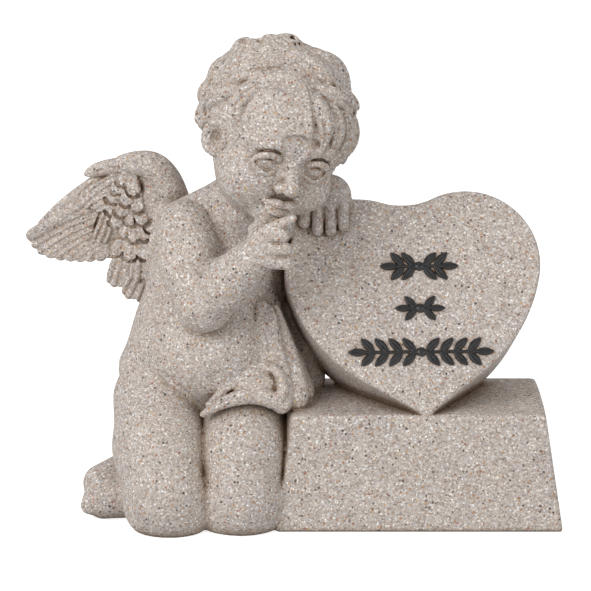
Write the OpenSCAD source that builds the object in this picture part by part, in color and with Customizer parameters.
// Kneeling cherub leaning on a heart that stands on a tapered block.
// Every casting is a separate solid, glued on pins or on its own cast peg.
// Millimetres, +Z up, front towards -Y, origin under the middle of the whole object.

/* [Plinth] */
// Width of the block along its foot
plinth_w = 90; // [85:1:93]
// Depth of the block along its foot
plinth_d = 54; // [50:1:58]
// Height of the block
plinth_h = 37; // [34:1:40]
// How far each end leans in towards the top
end_lean = 6; // [4:0.5:8]
// How far the front leans back towards the top
front_lean = 4.3; // [2:0.1:6]
// How far the back leans in towards the top
back_lean = 7.6; // [4:0.1:9]
// How far the middle of the left end, behind the knee, swells out past its corners
left_swell = 2.5; // [1:0.5:4]
// How far the middle of the right end swells out past its corners
right_swell = 0.6; // [0.4:0.2:4]

/* [Heart] */
// Thickness of the heart
heart_t = 32; // [27:1:33]
// Radius of the two lobes
lobe_r = 23.5; // [22:0.5:25]
// Distance of each lobe's centre from the middle line
lobe_x = 17; // [15:0.5:18]
// Height of the lobes' centres above the tip, along the face
lobe_z = 48; // [45:0.5:50]
// Radius of each long side between lobe and tip
side_r = 50; // [46:1:60]
// Radius of the hollow between the lobes
cleft_r = 22; // [14:1:26]
// Slope of the sides at the tip, in degrees
tip_slope = 34; // [30:1:36]
// How far the face leans back, in degrees
heart_lean = 27; // [22:1:30]
// How far the heart leans towards the cherub, in degrees
heart_tilt = 4; // [0:1:8]

/* [Figure] */
// Radius of the skull
skull_r = 22.5; // [21:0.5:24]
// Radius of a thigh
thigh_r = 14.5; // [13:0.5:15]
// Radius of the right upper arm
arm_r = 8.6; // [8:0.1:9.4]
// Thickness of a wing at its feathers
wing_t = 3.2; // [2.6:0.1:4]
// Length of the longest wing feather
feather_l = 37; // [32:1:40]

/* [Relief and pins] */
// Height of the painted relief above the heart's face
relief_h = 0.9; // [0.5:0.1:1.4]
// Diameter of the steel dowels
pin_d = 3; // [2:0.5:4]
// Gap for glue around each pin and peg
glue_gap = 0.15; // [0.1:0.05:0.3]

/* [Hidden] */
$fn = 16;

// The figure was laid out from the block's left end; this moves the whole object over its origin.
layout_to_origin = [0.95, -5.33, 0];

plinth_x0 = -6;
plinth_y0 = -30;
plinth_x1 = plinth_x0 + plinth_w;
plinth_y1 = plinth_y0 + plinth_d;
heart_turn = 2;
heart_tip = [41.2, plinth_y0 + front_lean - 0.6, plinth_h];

// Body landmarks
pelvis = [-30, -1, 38];
belly = [-29, -7, 56];
chest = [-24, -1, 83];
neck_low = [-17, -5, 97];
head_c = [-8, -11, 123.5];
head_nod = 4;
head_turn = 24;
head_tip = 16;
shoulder_r = [-33, -8, 91];
elbow_r = [-28.5, -22, 71.5];
wrist_r = [-15, -30, 89];
palm_r = [-9.5, -31.5, 93];
index_tip = [-0.6, -34.5, 102.3];
shoulder_l = [-8, 3, 92];
elbow_l = [8.5, 17, 99.5];
wrist_l = [11.3, 4, 103.6];
knuckle_l = [9.5, -3, 100.5];
hip_r = [-44, -4, 36];
knee_r = [-41, -27, 10.5];
ankle_r = [-52, -6, 9];
hip_l = [-16.5, -5, 36];
knee_l = [-16.5, -25, 9.5];
ankle_l = [-24, 14, 8];
wing_root_r = [-37, 10, 90];
wing_root_l = [-12, 12, 88];
wing_turn_r = 168;
wing_turn_l = 48;
peg_d = 5;
peg_l = 9;

module place() {
    translate(layout_to_origin) children();
}

module ball(p, r) {
    translate(p) sphere(r = r);
}

module limb(a, ra, b, rb) {
    hull() {
        ball(a, ra);
        ball(b, rb);
    }
}

// A row of limbs through points, with a radius at each.
module chain(points, radii) {
    for (i = [0 : len(points) - 2]) limb(points[i], radii[i], points[i + 1], radii[i + 1]);
}

// A squashed ball: radii along X, Y and Z.
module egg(p, r) {
    translate(p) scale([r.x, r.y, r.z]) sphere(r = 1);
}

module below_floor() {
    translate([-150, -150, -60]) cube([300, 300, 60]);
}

// ---- plinth and heart ----

// A wide cylinder whose axis follows the leaning end, so that the end swells in plan.
module end_bulge(x, side, swell) {
    half = plinth_d / 2;
    r = (half * half + swell * swell) / (2 * swell);
    lean = side * -atan(end_lean / plinth_h);
    translate([x + side * (swell - r), (plinth_y0 + plinth_y1) / 2, 0])
        rotate([0, lean, 0]) translate([0, 0, -220]) cylinder(r = r, h = 440, $fn = 96);
}

module plinth_body() {
    intersection() {
        translate([0, plinth_y1 + 5, 0]) rotate([90, 0, 0]) linear_extrude(plinth_d + 10)
            polygon([[plinth_x0 - left_swell, 0], [plinth_x1 + right_swell, 0],
                [plinth_x1 + right_swell - end_lean, plinth_h], [plinth_x0 - left_swell + end_lean, plinth_h]]);
        translate([plinth_x0 - 10, 0, 0]) rotate([90, 0, 90]) linear_extrude(plinth_w + 20)
            polygon([[plinth_y0, 0], [plinth_y1, 0],
                [plinth_y1 - back_lean, plinth_h], [plinth_y0 + front_lean, plinth_h]]);
        end_bulge(plinth_x1, 1, right_swell);
        end_bulge(plinth_x0, -1, left_swell);
    }
}

function arc(c, r, a0, a1, n) = [for (i = [0 : n]) let (a = a0 + (a1 - a0) * i / n)
    [c.x + r * cos(a), c.y + r * sin(a)]];

function heart_half() =
    let (along = [cos(tip_slope), sin(tip_slope)],
        inward = [-sin(tip_slope), cos(tip_slope)],
        lobe = [lobe_x, lobe_z],
        q = side_r * inward - lobe,
        d = along * q,
        flat = -d - sqrt(d * d - q * q + (side_r - lobe_r) * (side_r - lobe_r)),
        side_c = flat * along + side_r * inward,
        meet = atan2(lobe.y - side_c.y, lobe.x - side_c.x),
        cleft = [0, lobe_z + sqrt((lobe_r + cleft_r) * (lobe_r + cleft_r) - lobe_x * lobe_x)],
        top = atan2(cleft.y - lobe.y, cleft.x - lobe.x))
    concat([[0, 0]], arc(side_c, side_r, tip_slope - 90, meet, 7),
        arc(lobe, lobe_r, meet + 6, top, 16), arc(cleft, cleft_r, top - 180 - 4, -90, 4));

function heart_outline() = let (half = heart_half(), n = len(half))
    concat(half, [for (i = [n - 2 : -1 : 1]) [-half[i].x, half[i].y]]);

// Puts its children, drawn as X across and Y up the face with the face at Z 0, onto the heart.
module on_heart() {
    translate(heart_tip) rotate([90 - heart_lean, 0, heart_turn]) rotate([0, 0, heart_tilt]) children();
}

module heart_body() {
    difference() {
        on_heart() translate([0, 0, -heart_t]) linear_extrude(heart_t) polygon(heart_outline());
        translate([-20, -60, -80 + plinth_h]) cube([120, 140, 80]);
    }
}

module heart_pin_holes(gap) {
    for (x = [heart_tip.x - 5, heart_tip.x + 7])
        translate([x, heart_tip.y + 19, plinth_h - 10]) cylinder(d = pin_d + 1 + 2 * gap, h = 18 + gap, $fn = 32);
}

module figure_pin_holes(gap) {
    for (p = [[-22, 8], [-17, 22]])
        translate([plinth_x0 - 9, p.x, p.y]) rotate([0, 90, 0])
            cylinder(d = pin_d + 2 * gap, h = 22 + gap, $fn = 24);
}

module neck_pin_hole(gap) {
    translate([-14.5, -5.5, 93]) rotate([-8, 18, 0]) cylinder(d = pin_d + 2 * gap, h = 20 + gap, $fn = 24);
}

// A pin through the middle of a glued joint, along the line between two points inside the two castings.
module joint_pin(from, to, gap) {
    v = to - from;
    translate(from) rotate([0, acos(v.z / norm(v)), atan2(v.y, v.x)])
        cylinder(d = pin_d + 2 * gap, h = norm(v) + gap, $fn = 24);
}

module limb_pin_holes(gap) {
    joint_pin(hip_r + [4, 1, 3], belly + [-5, 10, 4], gap);
    joint_pin(hip_l + [-3, 1, 2], belly + [3, 9, 2], gap);
    joint_pin(elbow_r + [-0.5, -5, 1], elbow_r + [0, 9, 3], gap);
    joint_pin(shoulder_l + [7, 5, 3], chest + [6, 3, 6], gap);
}

module plinth() {
    color("#bdb1a3") place() difference() {
        plinth_body();
        heart_pin_holes(glue_gap);
        figure_pin_holes(glue_gap);
    }
}

module heart() {
    color("#c2b7aa") place() difference() {
        heart_body();
        heart_pin_holes(glue_gap);
    }
}

module heart_pins() {
    color("silver") place() heart_pin_holes(0);
}

module figure_pins() {
    color("silver") place() figure_pin_holes(0);
}

module neck_pin() {
    color("silver") place() neck_pin_hole(0);
}

module limb_pins() {
    color("silver") place() limb_pin_holes(0);
}

// ---- cherub ----

module trunk() {
    chain([pelvis + [-5, 3, 0], belly + [-2, 2, 0], chest + [-2, 0, 0], neck_low], [20, 19, 17.5, 8.5]);
    chain([pelvis + [6, 3, 0], belly + [4, 1, 0], chest + [5, 2, 0], neck_low], [19, 18.5, 15, 8.5]);
    limb(neck_low, 8.5, [-13, -7, 104], 7.5);
    limb(shoulder_r + [4, 2, -1], 8.5, shoulder_l + [-3, 0, -1], 8);
    limb([-41.5, 7, 74], 6.5, [-42.5, 5, 57], 9.5);
}

module pegs() {
    wing_frame(wing_root_r, wing_turn_r, 1) wing_peg(glue_gap);
    wing_frame(wing_root_l, wing_turn_l, -1) wing_peg(glue_gap);
}

module torso() {
    color("#c2b7aa") place() difference() {
        trunk();
        head_body();
        leg_right();
        leg_left();
        plinth_body();
        heart_body();
        neck_pin_hole(glue_gap);
        limb_pin_holes(glue_gap);
        pegs();
        below_floor();
    }
}

// The head is drawn facing the front, X across the face and Z up, then nodded, turned and tipped.
module head_frame() {
    translate(head_c) rotate([0, head_tip, 0]) rotate([head_nod, 0, head_turn]) children();
}

module head_body() {
    head_frame() {
        egg([0, 2, 6], [skull_r, skull_r + 1.5, skull_r - 2]);
        hull() {
            egg([0, -5, -6], [18.5, 16, 16]);
            egg([0, -10, -17], [9, 8, 6.5]);
        }
        for (side = [-1, 1]) {
            ball([side * 9, -12.5, -9], 7.6);
            limb([side * 20.5, 0, -5], 2.6, [side * 21.5, 2, 1], 3.6);
        }
        limb([0, -19.5, 1], 2, [0, -21.6, -7.5], 2.4);
    }
}

module head() {
    color("#c2b7aa") place() difference() {
        head_body();
        neck_pin_hole(glue_gap);
    }
}

// Curls sit in rings round the crown, each ring turned half a curl from the one before.
module hair_body() {
    rings = [[4, 1, 8], [38, 7, 8], [70, 11, 7.6], [101, 12, 7]];
    head_frame() translate([0, 2, 6]) {
        sphere(r = skull_r + 2.4, $fn = 24);
        for (k = [0 : len(rings) - 1], i = [0 : rings[k][1] - 1]) {
            tilt = rings[k][0];
            turn = 360 * (i + k / 2) / rings[k][1];
            translate(19.6 * [sin(tilt) * cos(turn), sin(tilt) * sin(turn), cos(tilt)])
                sphere(r = rings[k][2], $fn = 12);
        }
    }
}

module face_opening() {
    head_frame() hull() {
        for (side = [-1, 1]) ball([side * 8, -27, 7], 9);
        ball([0, -31, -20], 24);
        ball([0, -16, -32], 15);
    }
    head_frame() translate([-40, -40, -66]) cube([80, 90, 52]);
}

module hair() {
    color("#b9ad9f") place() difference() {
        hair_body();
        face_opening();
        head_body();
        left_arm_body();
    }
}

module leg_right() {
    chain([hip_r, (hip_r + knee_r) / 2 + [-1, -3, 1], knee_r], [thigh_r, thigh_r + 0.3, 13]);
    chain([knee_r + [0, 2, -1], [-47, -12, 10], ankle_r, [-56, -7, 12]], [12, 10.5, 7.5, 7]);
    limb([-54, -10, 7], 7.5, [-61, -15, 6.5], 6.5);
    for (i = [0 : 4]) ball([-65.8 + 0.9 * i, -18 + 3 * i, 5 + 0.3 * i], 2.6 - 0.1 * i);
}

module leg_left() {
    chain([hip_l, (hip_l + knee_l) / 2 + [0, -3, 1], knee_l], [thigh_r - 1, thigh_r - 1.3, 12.5]);
    chain([knee_l + [0, 2, -1], [-21, -6, 10], ankle_l, [-25, 26, 7]], [11, 10.5, 7.5, 6.5]);
    for (i = [0 : 4]) ball([-30.5 + 2.6 * i, 30.5 - 0.5 * i, 4], 2.6);
}

module right_leg() {
    color("#bdb1a3") place() difference() {
        leg_right();
        leg_left();
        limb_pin_holes(glue_gap);
        below_floor();
    }
}

module left_leg() {
    color("#bdb1a3") place() difference() {
        leg_left();
        plinth_body();
        figure_pin_holes(glue_gap);
        limb_pin_holes(glue_gap);
        below_floor();
    }
}

// Three curled fingers and a thumb beside a straight first finger.
module right_arm_body() {
    chain([shoulder_r, elbow_r, wrist_r, palm_r], [arm_r + 0.4, arm_r, 5.6, 6]);
    chain([palm_r + [2, -2, 4], [-5.5, -34.2, 99.9], index_tip], [2.8, 2.1, 1.7]);
    for (i = [0 : 2]) {
        knuckle = palm_r + [4.5, -2.5, 1.5 - 3.8 * i];
        limb(knuckle, 2.5, knuckle + [4 - i * 0.3, -0.5, 0.5], 2.3);
    }
    limb(palm_r + [0, 3, 4], 2.6, palm_r + [5, 3, 7], 2.2);
}

module right_arm() {
    color("#c2b7aa") place() difference() {
        right_arm_body();
        trunk();
        head_body();
        leg_right();
        limb_pin_holes(glue_gap);
    }
}

// The forearm lies on the heart's lobe and the fingers hang over its face.
module left_arm_body() {
    chain([shoulder_l, elbow_l, wrist_l, knuckle_l], [8.6, 8, 6.4, 6]);
    for (i = [0 : 3])
        chain([knuckle_l + [-6.5 + 4.3 * i, -2, -1], knuckle_l + [-6.6 + 4.2 * i, -2.2, -7],
            knuckle_l + [-6.8 + 4 * i, -0.9, -11.5 - (i % 3) * 0.8]], [2.7, 2.5, 2.2]);
}

module left_arm() {
    color("#bdb1a3") place() difference() {
        left_arm_body();
        trunk();
        head_body();
        heart_body();
        limb_pin_holes(glue_gap);
    }
}

// ---- wings ----

// A wing is drawn flat, X outwards and Z up, then turned about Z onto the back.
module wing_frame(root, turn, side) {
    translate(root) rotate([0, 0, turn]) mirror([0, side > 0 ? 1 : 0, 0]) children();
}

module wing_peg(gap) {
    translate([-peg_l / 2, 0, 0]) rotate([0, 90, 0]) cylinder(d = peg_d + 2 * gap, h = peg_l + 3, $fn = 24);
}

module feather(base, angle, length, width, lift) {
    tip = base + length * [cos(angle), sin(angle)];
    translate([0, lift, 0]) rotate([90, 0, 0]) linear_extrude(wing_t, center = true) hull() {
        translate(base) circle(d = width * 0.7, $fn = 12);
        translate(base + (tip - base) * 0.6) circle(d = width, $fn = 14);
        translate(tip) circle(d = width * 0.6, $fn = 12);
    }
}

// [how many, first angle, last angle, first length, last length, width, how far it stands forward]
feather_rows = [[7, -34, -96, feather_l, 16, 8.6, 0], [6, -30, -96, 23, 12, 7.8, 1.7],
    [6, -24, -90, 13, 8, 7.2, 3.2]];

// A flat-sided pad of short feathers that the long ones grow from.
module wing_pad() {
    translate([0, -1.6, 0]) rotate([90, 0, 0]) linear_extrude(wing_t + 1.4, center = true) hull() {
        translate([2, 4]) circle(r = 7);
        translate([6, 15]) circle(r = 5);
        translate([25, 13]) circle(r = 3.5);
        translate([7, -15]) circle(r = 5);
    }
}

module wing_body() {
    for (row = feather_rows, i = [0 : row[0] - 1]) {
        f = i / (row[0] - 1);
        feather([17 - 10 * f, 10 - 19 * f], row[1] + (row[2] - row[1]) * f,
            row[3] + (row[4] - row[3]) * f, row[5], -row[6]);
    }
    chain([[0, 0, 4], [4, -1, 14], [11, -1.5, 19.5], [19, -1, 19], [30, -0.5, 14]], [6, 5.6, 4.8, 4, 2.8]);
    wing_pad();
    wing_peg(0);
}

module right_wing() {
    color("#b3a799") place() difference() {
        wing_frame(wing_root_r, wing_turn_r, 1) wing_body();
        difference() {
            trunk();
            wing_frame(wing_root_r, wing_turn_r, 1) wing_peg(glue_gap);
        }
        right_arm_body();
    }
}

module left_wing() {
    color("#b3a799") place() difference() {
        wing_frame(wing_root_l, wing_turn_l, -1) wing_body();
        difference() {
            union() {
                trunk();
                left_arm_body();
            }
            wing_frame(wing_root_l, wing_turn_l, -1) wing_peg(glue_gap);
        }
        heart_body();
    }
}

// ---- sash ----

module sash() {
    color("#b9ad9f") place() difference() {
        union() {
            chain([[-4, 2, 68], [-3, -4, 58], [-3.5, -9, 49], [-4, -14, 41]], [4.5, 6, 6.5, 6]);
            chain([[-4, -14, 42], [-12, -18.5, 45], [-21, -20, 41], [-28, -20, 35]], [5.5, 5, 4.5, 3]);
            chain([[-5, -8, 52], [-14, -14, 51], [-21, -18, 44]], [5, 4.5, 4]);
        }
        trunk();
        leg_left();
        leg_right();
        plinth_body();
        heart_body();
        right_arm_body();
    }
}

// ---- painted relief: leaf sprays in three rows ----

module leaf(length, width) {
    r = (length * length / 4 + width * width / 4) / width;
    linear_extrude(relief_h) intersection() {
        translate([length / 2, r - width / 2]) circle(r = r, $fn = 64);
        translate([length / 2, width / 2 - r]) circle(r = r, $fn = 64);
    }
}

// A bud in the middle and a stem each way, with pairs of leaves and one leaf at each end.
module spray(half, leaf_l, pairs) {
    stem = half - leaf_l * 0.9;
    cylinder(r = 1.5, h = relief_h, $fn = 32);
    translate([-stem, -0.45, 0]) cube([2 * stem, 0.9, relief_h]);
    for (side = [0, 1]) mirror([side, 0, 0]) {
        translate([half - leaf_l, 0, 0]) leaf(leaf_l, leaf_l * 0.4);
        for (i = [0 : pairs - 1], up = [-1, 1])
            translate([stem * (i + 0.35) / pairs, 0, 0]) rotate([0, 0, up * 46]) leaf(leaf_l, leaf_l * 0.4);
    }
}

module relief_row(height, half, leaf_l, pairs) {
    color("#1c1c1e") place() on_heart() rotate([0, 0, -heart_tilt]) translate([-1.5, height, 0])
        spray(half, leaf_l, pairs);
}

module relief_top() {
    relief_row(48, 12.5, 6.2, 2);
}

module relief_middle() {
    relief_row(34.5, 8, 5.4, 1);
}

module relief_bottom() {
    relief_row(20.5, 23, 6.2, 4);
}

plinth();
heart();
heart_pins();
torso();
head();
hair();
neck_pin();
right_leg();
left_leg();
figure_pins();
limb_pins();
right_arm();
left_arm();
right_wing();
left_wing();
sash();
relief_top();
relief_middle();
relief_bottom();
